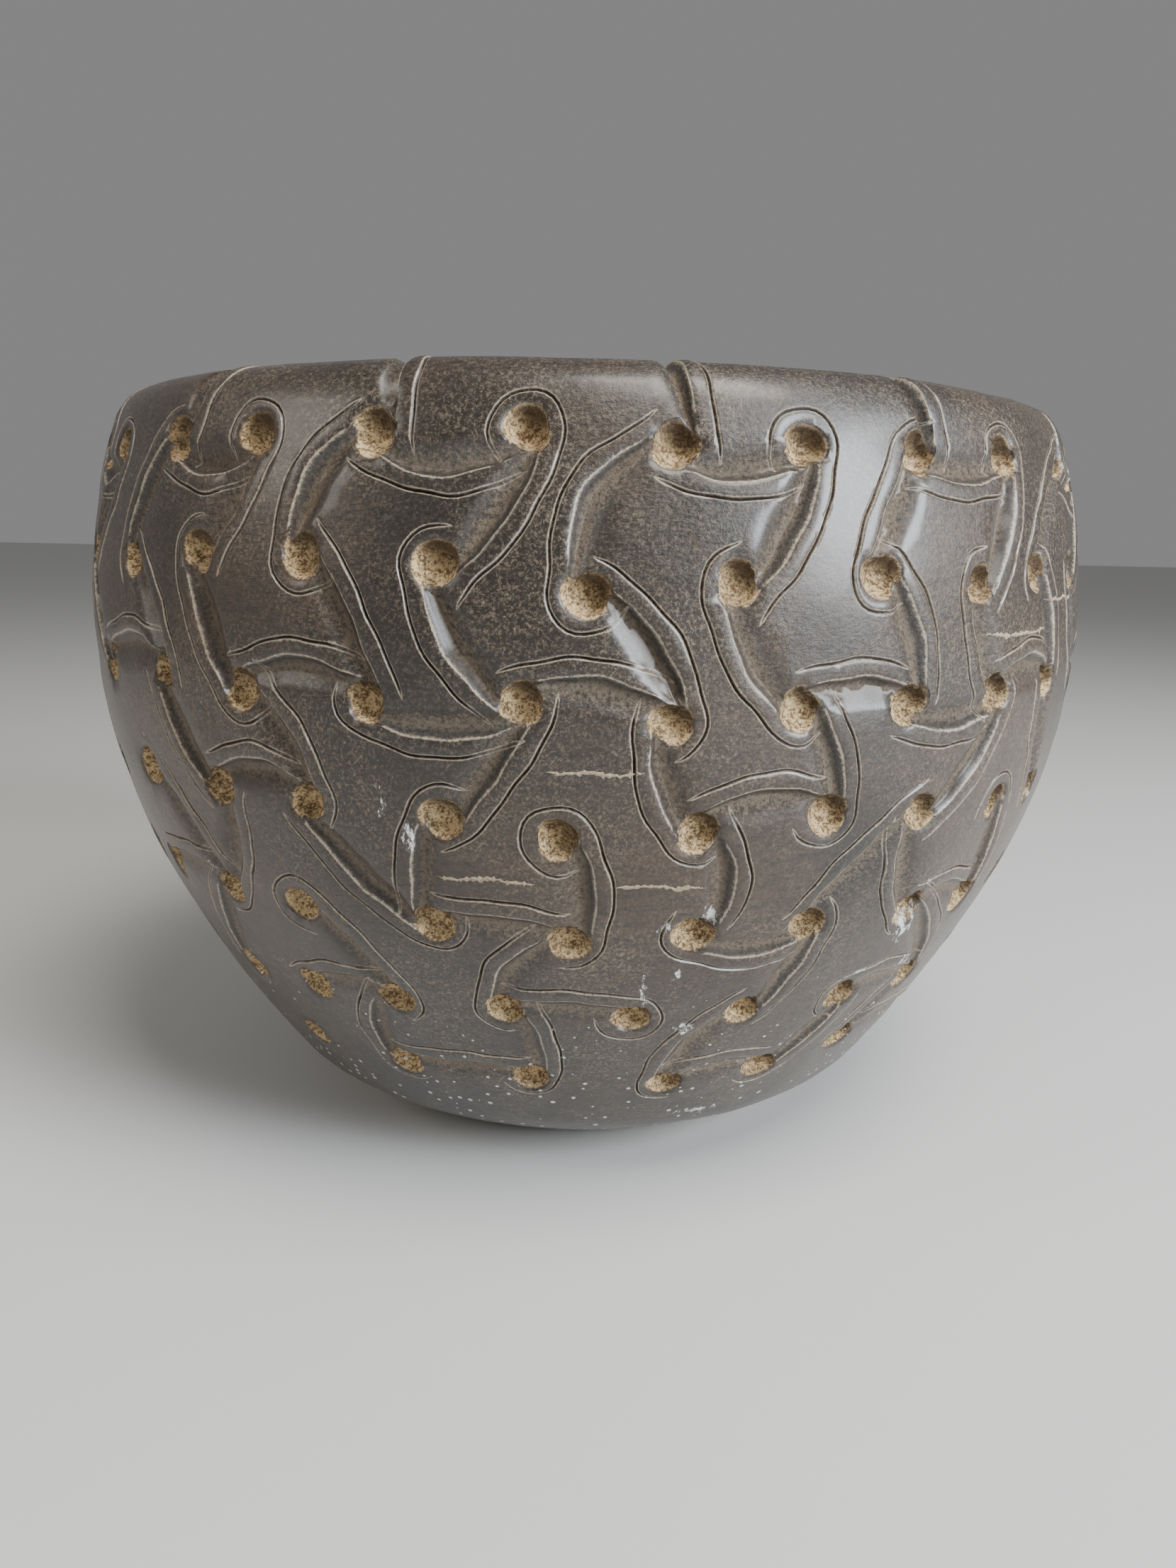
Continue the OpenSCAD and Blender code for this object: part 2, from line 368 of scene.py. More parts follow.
class Arm:
    """A slanted cut from one pit to another, with a sharp edge on one side, and outside that edge a raised band
    and a fine line that follows the cut and hooks round the pits."""

    EDGE_OFFSET = 4.6
    WALL = 0.3
    ROWS = (-0.25, -0.1, 0.0, 0.12, WALL, 0.5, 0.75, 1.0)
    # Where across the cut, as a share of its width, the painted shade at the foot of the steep wall lies
    FOOT = 0.14
    BAND_RAISED = 0.35
    SPACING = 2.0
    SMOOTHING = 6
    TAPER = 5.0
    OPENING = 0.6
    RIM_GROOVE = 0.62

    def __init__(self, line, start, end, side, bulge, hooks, depth, sizes, rng, over_rim=False):
        self.start, self.end = np.array(start), np.array(end)
        self.scale = float(line.at_rise((start[1] + end[1]) / 2)[0])
        run = (self.end - self.start) * self.scale
        self.length = float(np.hypot(*run))
        self.along = run / self.length
        self.out = np.array([-self.along[1], self.along[0]]) * (1 if side == "L" else -1)
        self.bulge, self.hooks, self.depth = bulge, hooks, depth * rng.uniform(0.85, 1.1)
        self.sizes, self.over_rim = sizes, over_rim
        self.waver = rng.uniform(0, TURN, 3)
        self.path = self.line_path()

    def place(self, x, y):
        """Bearing and rise of points given along and out from the line between the pits."""
        offset = np.multiply.outer(x, self.along) + np.multiply.outer(y, self.out)
        return self.start + offset / self.scale

    def local(self, across, up):
        offset = np.stack([across, up], -1) * self.scale
        return offset @ self.along, offset @ self.out

    def swell(self, f):
        """0 at a pit and 1 in the middle of the arm. An arm that runs over the rim stays open at its end."""
        f = np.clip(f, 0, 1)
        return np.sin(np.pi * (np.minimum(f, 0.5) if self.over_rim else f))

    def unevenness(self, x):
        a, b, c = self.waver
        return 0.22 * np.sin(x / 3.1 + a) + 0.14 * np.sin(x / 1.7 + b) + 0.2 * np.sin(x / 7.3 + c)

    def edge(self, x):
        return self.EDGE_OFFSET + self.bulge * self.swell(x / self.length) + self.unevenness(x)

    def width(self, x):
        widest = self.sizes["arm_width"] * (self.RIM_GROOVE if self.over_rim else 1)
        return np.maximum(widest * self.swell(x / self.length) ** 0.5, 0.3)

    def line_path(self):
        """The fine line, as evenly spaced points: round the first pit, along the cut and round the second."""
        radius = self.EDGE_OFFSET + self.sizes["band_width"]
        first, last = self.hooks
        x = np.linspace(0, self.length, 24)
        path = np.stack([x, radius + self.bulge * self.swell(x / self.length)], -1)
        if last:
            path = np.vstack([path, [self.length, 0] + self.hook(radius, last) * [1, 1]])
        if first:
            path = np.vstack([(self.hook(radius, first) * [-1, 1])[::-1], path])
        path = evenly(path, self.SPACING)
        for _ in range(self.SMOOTHING):
            path[1:-1] = path[1:-1] / 2 + (path[:-2] + path[2:]) / 4
        s = np.arange(len(path)) * self.SPACING
        path += normals(path) * self.unevenness(s)[:, None]
        return evenly(path, self.SPACING)

    def hook(self, radius, turn):
        """The end of the fine line, past the place abeam of a pit: a turn round it that opens out, or a
        straight run where the turn is less than nothing."""
        if turn < 0:
            x = np.arange(1.0, -turn + 0.1)
            return np.stack([x, np.full(len(x), radius)], -1)
        turned = np.linspace(0, math.radians(turn), max(3, turn // 12))[1:]
        opened = radius + self.OPENING * turned / math.pi
        return np.stack([opened * np.sin(turned), opened * np.cos(turned)], -1)

    def cut(self, bearing, rise, carved):
        middle = (self.start + self.end) / 2
        outward = self.EDGE_OFFSET + self.bulge + 2 * self.sizes["band_width"] + 4
        found, across, up = near(bearing, rise, middle, (self.length / 2 + outward) / self.scale)
        if not len(found):
            return
        across, up = across + middle[0] - self.start[0], up + middle[1] - self.start[1]
        x, y = self.local(across, up)
        edge = self.edge(x)
        q = (edge - y) / self.width(x)
        inside = (q > 0) & (q < 1) & (x > 0) & (x < self.length)
        wall, slope = np.clip(q / self.WALL, 0, 1), np.clip((q - self.WALL) / (1 - self.WALL), 0, 1)
        shape = np.where(q < self.WALL, np.sin(wall * np.pi / 2), (1 + np.cos(slope * np.pi)) / 2)
        depth = np.where(inside, self.depth * shape * self.swell(x / self.length) ** 0.35, 0)
        carved.cut[found] = np.maximum(carved.cut[found], np.where(inside, shape, 0))
        # Painted shade: a dark strip in the crease at the foot of the cut's steep wall
        foot_painted_shade = np.clip(1 - np.abs(q - self.FOOT) / self.FOOT, 0, 1)
        carved.foot[found] = np.maximum(carved.foot[found], np.where(inside, foot_painted_shade, 0))
        along = (x > 0) & (x < self.length)
        band = np.clip((y - edge) / self.sizes["band_width"], 0, 1)
        raised = self.BAND_RAISED * np.sin(np.pi * band) * self.swell(x / self.length) ** 0.5
        carved.raised[found] = np.maximum(carved.raised[found], np.where(along, raised, 0))
        sharp = np.where(along, 1 - np.clip(np.abs(y - edge) / 0.8, 0, 1), 0)
        carved.edge[found] = np.maximum(carved.edge[found], sharp)
        distance, s, total = distance_to(self.path, x, y)
        taper = np.clip(np.minimum(s, total - s) / self.TAPER, 0, 1) ** 0.6
        half = self.sizes["line_width"] / 2
        groove = np.clip(1 - distance / half, 0, 1) * taper
        # The line mask is read for the pale burr at the sides of the line and for painted shade in its bed
        carved.line[found] = np.maximum(carved.line[found], np.clip(1.2 - distance / half, 0, 1) * taper)
        depth = np.maximum(depth, self.sizes["line_depth"] * groove)
        carved.depth[found] = np.maximum(carved.depth[found], depth)


def evenly(path, spacing):
    """The same path with points a fixed distance apart, as nearly as its length allows."""
    s = np.concatenate([[0], np.cumsum(np.hypot(*np.diff(path, axis=0).T))])
    at = np.linspace(0, s[-1], max(3, round(s[-1] / spacing) + 1))
    return np.stack(interpolated(at, s, path[:, 0], path[:, 1]), -1)


def normals(path):
    run = np.gradient(path, axis=0)
    run /= np.maximum(np.hypot(run[:, 0], run[:, 1]), 1e-9)[:, None]
    return np.stack([-run[:, 1], run[:, 0]], -1)


def distance_to(path, x, y):
    """Distance from points to a path, how far along the path the nearest place is, and the path's length."""
    a, b = path[:-1], path[1:]
    run = b - a
    lengths = np.hypot(run[:, 0], run[:, 1])
    offset = np.stack([x, y], -1)[:, None] - a[None]
    t = np.clip((offset * run).sum(-1) / lengths ** 2, 0, 1)
    gap = np.hypot(*np.moveaxis(offset - t[..., None] * run, -1, 0))
    best = gap.argmin(axis=1)
    start = np.concatenate([[0], np.cumsum(lengths)])
    rows = np.arange(len(x))
    return gap[rows, best], start[best] + t[rows, best] * lengths[best], start[-1]


def swells(rng, surface, sizes_and_heights):
    """Several ripples of the hand-worked surface laid over each other (mm)."""
    return sum(height * Ripple(rng, size)(surface) for size, height in sizes_and_heights)


class Carved:
    """What the cuts do at each place: the depth, how far it is a pit, a cut, a fine line or an edge, and where
    shade is painted on a pit's wall and at the foot of a cut.
    """

    FIBRE_SIZE = 1.6
    # A raised band rises only where the cuts are shallower than this
    UNCUT = 0.05
    SWELLS = ((45, 0.35), (13, 0.10))

    def __init__(self, surface, bearing, rise, pits, arms, rng):
        self.fibre = Ripple(rng, self.FIBRE_SIZE)(surface)
        self.depth, self.raised = np.zeros(len(bearing)), np.zeros(len(bearing))
        self.pit, self.under, self.cut = (np.zeros(len(bearing)) for _ in range(3))
        self.foot, self.line, self.edge = (np.zeros(len(bearing)) for _ in range(3))
        for arm in arms:
            arm.cut(bearing, rise, self)
        for pit in pits:
            pit.cut(bearing, rise, self)
        self.depth -= self.raised * (self.depth < self.UNCUT)
        self.depth += swells(rng, surface, self.SWELLS)


# How far a pit strays from its place where a sector repeats the first (radians)
STRAY = 0.003


def pits_and_arms(line, carving):
    """All the pits and arms, as a layout of one sector repeated round the bowl."""
    rng = np.random.default_rng(carving.seed)
    sizes = {name: getattr(carving, name) / MM for name in BowlCarving.__annotations__ if name != "seed"}
    where = {}
    for row, places in PIT_ROWS.items():
        for number in range(SECTORS * len(places)):
            sector, i = divmod(number, len(places))
            height, bearing = places[i]
            stray = rng.normal(0, STRAY, 2) * (sector > 0)
            turned = math.radians(bearing - 90 + sector * 360 / SECTORS)
            where[row, number] = (turned + stray[0], line.rise_at_height(height) + stray[1])
    pits = [Pit(line, *place, sizes["pit_width"], sizes["pit_depth"], rng) for place in where.values()]

    def pit_at(name, sector):
        per_row = len(PIT_ROWS[name[0]])
        number = int(name[1:]) - 1 + sector * per_row
        lap, number = divmod(number, SECTORS * per_row)
        bearing, rise = where[name[0], number]
        return bearing + lap * TURN, rise

    arms = []
    for sector in range(SECTORS):
        for first, second, side, bulge, first_hook, second_hook in ARMS:
            arms.append(Arm(line, pit_at(first, sector), pit_at(second, sector), side, bulge,
                            (first_hook, second_hook), ARM_DEPTH[first[0]], sizes, rng))
        for name, lean in RIM_GROOVES:
            start = pit_at(name, sector)
            end = (start[0] + lean / float(line.r[-1]), float(line.rise[-1]) - 0.01)
            arms.append(Arm(line, start, end, "R", 0, (-5, 0), ARM_DEPTH["A"], sizes, rng, over_rim=True))
    return pits, arms


# --- carved surface

class Net:
    """Points of the carved surface, in bearing and rise, and the edges that must stay in its triangles. A point
    that falls on an earlier one is that one."""

    CELL = 0.45

    def __init__(self, line):
        self.line, self.points, self.edges, self.grid = line, [], [], {}

    def add(self, place, clear=None):
        bearing, rise = float(place[0]) % TURN, float(place[1])
        if not 0 <= rise <= self.line.rise[-1]:
            return None
        clear = self.CELL if clear is None else clear
        r, s = (float(v) for v in interpolated(rise, self.line.rise, self.line.r, self.line.s))
        x, y, z = r * math.cos(bearing), r * math.sin(bearing), s
        reach = math.ceil(clear / self.CELL)
        cell = tuple(int(v // self.CELL) for v in (x, y, z))
        for i, j, k in itertools.product(range(-reach, reach + 1), repeat=3):
            for other, ox, oy, oz in self.grid.get((cell[0] + i, cell[1] + j, cell[2] + k), ()):
                if (ox - x) ** 2 + (oy - y) ** 2 + (oz - z) ** 2 < clear * clear:
                    return other
        self.points.append((bearing, rise))
        self.grid.setdefault(cell, []).append((len(self.points) - 1, x, y, z))
        return len(self.points) - 1

    def chain(self, places, closed=False, kept=True):
        ids = [self.add(place) for place in places]
        if kept:
            pairs = list(zip(ids, ids[1:] + ids[:1])) if closed else list(zip(ids, ids[1:]))
            self.edges += [(a, b) for a, b in pairs if a is not None and b is not None and a != b]
        return ids

    def ring(self, rise, count, clear, shift=0.0, kept=False):
        bearings = (np.arange(count) + shift) / count * TURN
        ids = [self.add((bearing, rise), clear) for bearing in bearings]
        if kept:
            self.edges += list(zip(ids, ids[1:] + ids[:1]))
        return ids

    def triangles(self):
        """The net drawn flat as a ring, the base edge inside and the rim outside, and cut into triangles."""
        bearing, rise = np.array(self.points).T
        flat = np.exp(rise)[:, None] * np.stack([np.cos(bearing), np.sin(bearing)], -1)
        points = [Vector((float(x), float(y))) for x, y in flat]
        edges = [(int(a), int(b)) for a, b in self.edges]
        points, _, faces, _, _, _ = delaunay_2d_cdt(points, edges, [], 0, 1e-7, False)
        x, y = np.array([tuple(p) for p in points], float).T
        triangles = np.array([tuple(face)[::-1] for face in faces], int)
        return np.arctan2(y, x), np.clip(np.log(np.hypot(x, y)), 0, self.line.rise[-1]), triangles


# How many points go round the base and the rim, and how many rings go down the hollow
BASE_RING, LIP_RING, HOLLOW_RINGS = 144, 216, 56
# How far apart the points of the plain surface lie (mm)
BACKGROUND = 4.6


def ring_heights(line):
    """Rises of the plain rings between the cuts: close together where the section turns sharply."""
    bend = np.abs(np.gradient(line.heading, line.s))
    s, found = 0.0, []
    while True:
        s += float(np.clip(0.28 / max(np.interp(s + 1, line.s, bend), 1e-6), 1.3, BACKGROUND * 0.87))
        if s > line.s[-1] - 0.8:
            return found
        found.append(float(np.interp(s, line.s, line.rise)))


def carved_outside(line, pits, arms):
    """Bearings, rises and triangles of the outside, with points along every cut."""
    net = Net(line)
    net.ring(0.0, BASE_RING, 0.01, kept=True)
    net.ring(float(line.rise[-1]), LIP_RING, 0.01, kept=True)
    for pit in pits:
        for fraction, count in pit.RINGS:
            angles = np.arange(count) / count * TURN
            net.chain([pit.place(a, fraction) for a in angles], closed=True, kept=fraction == 1.0)
        net.add(pit.centre)
    for arm in arms:
        across, half = normals(arm.path), arm.sizes["line_width"] / 2
        for offset in (0.0, -half, half, -2 * half, 2 * half):
            path = arm.path + offset * across
            net.chain([arm.place(x, y) for x, y in path], kept=abs(offset) <= half)
    for arm in arms:
        x = np.linspace(0, arm.length, max(4, round(arm.length / Arm.SPACING)) + 1)[1:]
        for q in Arm.ROWS:
            y = arm.edge(x) - q * arm.width(x)
            net.chain([arm.place(a, b) for a, b in zip(x, y)], kept=0 <= q <= Arm.WALL)
    for i, rise in enumerate(ring_heights(line)):
        r = float(line.at_rise(rise)[0])
        net.ring(rise, round(TURN * r / BACKGROUND), 1.7, shift=0.5 * (i % 2))
    return net.triangles()


# Size and height of the gouge's ripples in the hollow, and how far down from the rim they fade in (mm)
HOLLOW_SWELLS = ((60, 0.45), (16, 0.22))
HOLLOW_FADE = 12


def hollow_surface(line, bearings, rng):
    """Rings of points down the hollow, lightly uneven from the gouge, below the ring at the rim."""
    r, z, heading = np.array(line.r), np.array(line.z), np.radians(line.heading)
    s = np.concatenate([[0], np.cumsum(np.hypot(np.diff(r), np.diff(z)))])
    at = np.linspace(0, s[-1], HOLLOW_RINGS + 1)[1:-1]
    r, z, heading = interpolated(at, s, r, z, heading)
    flat = np.stack([np.outer(r, np.cos(bearings)), np.outer(r, np.sin(bearings)),
                     np.repeat(z[:, None], len(bearings), axis=1)], -1).reshape(-1, 3)
    depth = swells(rng, flat, HOLLOW_SWELLS)
    depth *= np.repeat(smoothstep(at, 0, HOLLOW_FADE), len(bearings))
    turned = np.repeat(heading, len(bearings))
    around = np.tile(bearings, len(r))
    radial = -depth * np.sin(turned)
    flat += np.stack([radial * np.cos(around), radial * np.sin(around), depth * np.cos(turned)], -1)
    return flat, np.array([0.0, 0.0, line.z[-1]])


def ring_order(bearing, ids):
    return [int(i) for i in np.array(ids)[np.argsort(bearing[ids] % TURN)]]


def stitched(upper, lower):
    """Quads between two rings of equal count."""
    n = len(upper)
    return [(upper[i], upper[(i + 1) % n], lower[(i + 1) % n], lower[i]) for i in range(n)]


def close_gaps(mesh):
    """Fill any three-sided gap that the flattened net left, keeping the order of the points."""
    work = bmesh.new()
    work.from_mesh(mesh)
    open_edges = [edge for edge in work.edges if len(edge.link_faces) == 1]
    bmesh.ops.holes_fill(work, edges=open_edges, sides=4)
    bmesh.ops.recalc_face_normals(work, faces=work.faces)
    work.to_mesh(mesh)
    work.free()


# How far each place is one of these, which the wood's material reads. Two of them are painted shade: one
# darkens the upper right wall of each pit, one darkens the crease at the foot of each cut's wall.
MASKS = ("pit", "under", "cut", "foot", "line", "edge")


def smeared(line, bearing, rise):
    """How strongly each place may carry a smear of paint: 1 in the middle of a smear and 0 well outside it."""
    mask = np.zeros(len(bearing))
    for height, place, tall, wide in SMEARS:
        centre = (math.radians(place - 90), line.rise_at_height(height))
        r = float(line.at_rise(centre[1])[0])
        found, across, up = near(bearing, rise, centre, 2 * max(tall, wide) / r)
        away = np.hypot(across * r / wide, up * r / tall)
        mask[found] = np.maximum(mask[found], 1 - smoothstep(away, 0, 1.8))
    return mask


# How much of the rise, at the base and at the rim, the cuts take to fade out
FADE = 0.03


def bowl_mesh(shape, carving):
    """One closed mesh of the bowl: carved outside, plain hollow and flat base."""
    line = outside_line(shape)
    pits, arms = pits_and_arms(line, carving)
    rng = np.random.default_rng(carving.seed + 1)
    bearing, rise, triangles = carved_outside(line, pits, arms)
    surface = line.surface(bearing, rise)
    carved = Carved(surface, bearing, rise, pits, arms, rng)
    top = line.rise[-1]
    carved.depth *= smoothstep(rise, 0.0, FADE) * smoothstep(-rise, -top, -top + FADE)
    points = line.surface(bearing, rise, carved.depth)
    base = ring_order(bearing, np.nonzero(rise < 1e-5)[0])
    lip = ring_order(bearing, np.nonzero(rise > line.rise[-1] - 1e-5)[0])
    inner = set(base)
    faces = [tuple(int(i) for i in t) for t in triangles if not inner.issuperset(int(i) for i in t)]
    lip_bearings = bearing[lip]
    rings, bottom = hollow_surface(hollow_line(shape, line), lip_bearings, rng)
    count, first = len(lip), len(points)
    points = np.vstack([points, rings, bottom, [[0.0, 0.0, 0.0]]])
    upper = lip
    for k in range(HOLLOW_RINGS - 1):
        lower = list(range(first + k * count, first + (k + 1) * count))
        faces += stitched(upper, lower)
        upper = lower
    floor, under = len(points) - 2, len(points) - 1
    faces += [(upper[i], upper[(i + 1) % count], floor) for i in range(count)]
    faces += [(base[(i + 1) % len(base)], base[i], under) for i in range(len(base))]
    mesh = bpy.data.meshes.new("bowl_body_carved")
    mesh.from_pydata([tuple(p) for p in points * MM], [], faces)
    close_gaps(mesh)
    masks = {name: getattr(carved, name) for name in MASKS}
    masks["smear"] = smeared(line, bearing, rise)
    masks["outside"] = np.ones(len(bearing))
    for name, mask in masks.items():
        values = np.zeros(len(points), np.float32)
        values[:len(bearing)] = mask
        mesh.attributes.new(name, "FLOAT", "POINT").data.foreach_set("value", values)
    return mesh


# --- filled cracks

# How far apart a crack's points lie, how far its filling stands out and how deep it sits (mm)
CRACK_STEP = 0.5
CRACK_STANDS, CRACK_SUNK = 0.12, 1.2
# How a crack strays from its middle line: each step, at most, and each jump from one run of points to the next
CRACK_STRAY, CRACK_FARTHEST, CRACK_JUMP, CRACK_RUN = 0.11, 1.6, 0.2, 8
# How thin a crack is where it is thinnest, and how it thickens at random and tapers to its ends
CRACK_THIN, CRACK_THICKENS, CRACK_TAPER, CRACK_TIP = 0.35, (3.0, 0.28), 9, 0.12


def crack_rails(line, height, start, span, width, rng):
    """The two ragged edges of one crack, as bearings and rises, with a wandering middle line."""
    r = float(line.at_rise(line.rise_at_height(height))[0])
    count = max(12, round(math.radians(span) * r / CRACK_STEP))
    along = np.linspace(0, 1, count)
    wander = np.cumsum(rng.normal(0, CRACK_STRAY, count))
    wander -= np.linspace(wander[0], wander[-1], count)
    jumps = np.repeat(rng.normal(0, 1, count // CRACK_RUN + 1), CRACK_RUN)[:count]
    wander = np.clip(wander, -CRACK_FARTHEST, CRACK_FARTHEST) + CRACK_JUMP * jumps
    half = width / 2 * (CRACK_THIN + rng.gamma(*CRACK_THICKENS, count))
    half *= np.clip(np.minimum(along, 1 - along) * CRACK_TAPER, CRACK_TIP, 1)
    bearing = np.radians(start - 90 + span * along)
    middle = line.rise_at_height(height) + wander / r
    return bearing, middle - half / r, middle + half / r


def crack_mesh(line, pits, arms, carving):
    """All the filled cracks as closed slivers that lie on the carved wood."""
    points, faces = [], []
    rng = np.random.default_rng(carving.seed + 2)
    for height, start, span in CRACKS:
        bearing, low, high = crack_rails(line, height, start, span, carving.crack_width / MM, rng)
        middle = (low + high) / 2
        rows = []
        for rise, stands in ((low, 0.0), (middle, CRACK_STANDS), (high, 0.0), (middle, -CRACK_SUNK)):
            carved = Carved(line.surface(bearing, rise), bearing, rise, pits, arms,
                            np.random.default_rng(carving.seed + 1))
            rows.append(line.surface(bearing, rise, carved.depth - stands))
        count, first = len(bearing), len(points)
        points += [tuple(p) for row in rows for p in row * MM]
        grid = [[first + row * count + i for i in range(count)] for row in range(4)]
        for i in range(count - 1):
            for row in range(4):
                a, b = grid[row], grid[(row + 1) % 4]
                faces.append((a[i], a[i + 1], b[i + 1], b[i]))
        faces.append(tuple(grid[row][0] for row in range(4)))
        faces.append(tuple(grid[row][-1] for row in (3, 2, 1, 0)))
    mesh = bpy.data.meshes.new("check_filler_packed")
    mesh.from_pydata(points, [], faces)
    close_gaps(mesh)
    return mesh


# --- node helpers

class Sheet:
    """A short way to lay shader nodes in one tree."""

    def __init__(self, tree):
        self.tree, self.links = tree, tree.links

    def node(self, kind, settings=None, **inputs):
        node = self.tree.nodes.new(kind)
        for name, value in (settings or {}).items():
            setattr(node, name, value)
        for name, value in inputs.items():
            self.set(node, name.replace("_", " "), value)
        return node

    def feed(self, socket, value):
        """Link a socket to another, or give it a plain value. A colour may come without its alpha."""
        if isinstance(value, bpy.types.NodeSocket):
            self.links.new(value, socket)
        elif socket.type == "RGBA" and len(value) == 3:
            socket.default_value = (*value, 1)
        else:
            socket.default_value = value

    def set(self, node, name, value):
        self.feed(node.inputs[name], value)

    def mix(self, factor, a, b):
        node = self.tree.nodes.new("ShaderNodeMix")
        node.data_type, node.clamp_factor = "RGBA", True
        for index, value in ((0, factor), (6, a), (7, b)):
            self.feed(node.inputs[index], value)
        return node.outputs[2]

    def math(self, operation, a, b=0.0, clamp=False):
        node = self.tree.nodes.new("ShaderNodeMath")
        node.operation, node.use_clamp = operation, clamp
        self.feed(node.inputs[0], a)
        self.feed(node.inputs[1], b)
        return node.outputs[0]

    def times(self, a, b):
        return self.math("MULTIPLY", a, b)

    def plus(self, a, b):
        return self.math("ADD", a, b)

    def spread(self, value, low, high, to_low=0.0, to_high=1.0):
        node = self.node("ShaderNodeMapRange", {"interpolation_type": "SMOOTHSTEP"}, Value=value)
        for name, bound in (("From Min", low), ("From Max", high), ("To Min", to_low), ("To Max", to_high)):
            node.inputs[name].default_value = bound
        return node.outputs[0]

    def noise(self, place, scale, detail=3.0, rough=0.55, warp=0.0):
        node = self.node("ShaderNodeTexNoise", Vector=place, Scale=scale, Detail=detail,
                         Roughness=rough, Distortion=warp)
        return node.outputs["Fac"]

    def stretched(self, place, factors, turn=(0, 0, 0)):
        """Places turned first and then stretched, so that streaks run along the turned direction."""
        turned = self.node("ShaderNodeMapping", Vector=place, Rotation=turn).outputs[0]
        return self.node("ShaderNodeMapping", Vector=turned, Scale=factors).outputs[0]

    def mask(self, name):
        return self.node("ShaderNodeAttribute", {"attribute_name": name}).outputs["Fac"]


def group(name, inputs, outputs):
    """A new node group with the given sockets, its sheet and its two end nodes."""
    tree = bpy.data.node_groups.new(name, "ShaderNodeTree")
    for title, kind, default in inputs:
        socket = tree.interface.new_socket(title, in_out="INPUT", socket_type=kind)
        if default is not None:
            socket.default_value = default
    for title, kind in outputs:
        tree.interface.new_socket(title, in_out="OUTPUT", socket_type=kind)
    sheet = Sheet(tree)
    return tree, sheet, sheet.node("NodeGroupInput"), sheet.node("NodeGroupOutput")


FLOAT, COLOUR, VECTOR = "NodeSocketFloat", "NodeSocketColor", "NodeSocketVector"


def wood_grain_group():
    """Fine streaks along the length of the wood, broad patches of tone, and the relief of the fibres."""
    tree, sheet, given, out = group(
        "Wood grain", [("Place", VECTOR, None), ("Streak scale", FLOAT, 420.0), ("Patch scale", FLOAT, 14.0)],
        [("Streaks", FLOAT), ("Patches", FLOAT), ("Relief", FLOAT)])
    place = given.outputs["Place"]
    along = sheet.stretched(place, (0.045, 1.0, 1.0), (0.0, 0.06, 0.0))
    wavy = sheet.noise(place, 22.0, 2.0)
    bent = sheet.node("ShaderNodeVectorMath", {"operation": "MULTIPLY_ADD"})
    sheet.links.new(wavy, bent.inputs[0])
    bent.inputs[1].default_value = (0.0, 0.006, 0.006)
    sheet.links.new(along, bent.inputs[2])
    coarse = sheet.noise(bent.outputs[0], given.outputs["Streak scale"], 5.0, 0.62)
    fine = sheet.noise(bent.outputs[0], 1500.0, 3.0, 0.6)
    streaks = sheet.plus(sheet.times(coarse, 0.65), sheet.times(fine, 0.35))
    patches = sheet.noise(place, given.outputs["Patch scale"], 4.0, 0.55, 0.4)
    sheet.set(out, "Streaks", sheet.spread(streaks, 0.36, 0.64))
    sheet.set(out, "Patches", sheet.spread(patches, 0.34, 0.66))
    sheet.set(out, "Relief", streaks)
    return tree


def settled_dust_group():
    """Pale dust: clouds of fine specks, thicker where the amount is higher."""
    tree, sheet, given, out = group(
        "Settled dust", [("Place", VECTOR, None), ("Amount", FLOAT, 0.5), ("Speck scale", FLOAT, 900.0)],
        [("Dust", FLOAT)])
    place = given.outputs["Place"]
    specks = sheet.noise(place, given.outputs["Speck scale"], 3.0, 0.7)
    clouds = sheet.noise(place, 60.0, 5.0, 0.65)
    level = sheet.plus(sheet.times(specks, 0.55), sheet.times(clouds, 0.45))
    level = sheet.plus(level, sheet.times(given.outputs["Amount"], 0.3))
    sheet.set(out, "Dust", sheet.spread(level, 0.62, 0.78))
    return tree


def paint_spatter_group():
    """Small round specks of old paint, more of them low down, and broken smears where the smear mask allows."""
    tree, sheet, given, out = group(
        "Paint spatter", [("Place", VECTOR, None), ("Amount", FLOAT, 0.5), ("Smear", FLOAT, 0.0)],
        [("Paint", FLOAT)])
    place = given.outputs["Place"]
    dots = sheet.node("ShaderNodeTexVoronoi", Vector=place, Scale=330.0, Randomness=1.0)
    size = sheet.times(sheet.math("SUBTRACT", given.outputs["Amount"], 0.06, clamp=True), 0.4)
    chance = sheet.node("ShaderNodeSeparateColor", Color=dots.outputs["Color"]).outputs[0]
    size = sheet.times(size, sheet.spread(chance, 0.2, 0.9))
    speck = sheet.spread(sheet.math("SUBTRACT", size, dots.outputs["Distance"]), 0.0, 0.03, 0.0, 0.75)
    broken = sheet.noise(sheet.stretched(place, (1.6, 1.6, 0.6)), 330.0, 6.0, 0.8)
    smear = sheet.plus(sheet.times(given.outputs["Smear"], 0.34), broken)
    smear = sheet.times(sheet.spread(smear, 0.80, 0.86), sheet.spread(given.outputs["Smear"], 0.05, 0.3))
    sheet.set(out, "Paint", sheet.math("MAXIMUM", speck, smear))
    return tree


def placed(sheet, tree, **inputs):
    node = sheet.node("ShaderNodeGroup", {"node_tree": tree})
    for name, value in inputs.items():
        sheet.set(node, name.replace("_", " "), value)
    return node


def new_material(name):
    material = bpy.data.materials.new(name)
    material.use_nodes = True
    material.node_tree.nodes.clear()
    sheet = Sheet(material.node_tree)
    shader = sheet.node("ShaderNodeBsdfPrincipled")
    end = sheet.node("ShaderNodeOutputMaterial")
    sheet.links.new(shader.outputs[0], end.inputs["Surface"])
    return material, sheet, shader


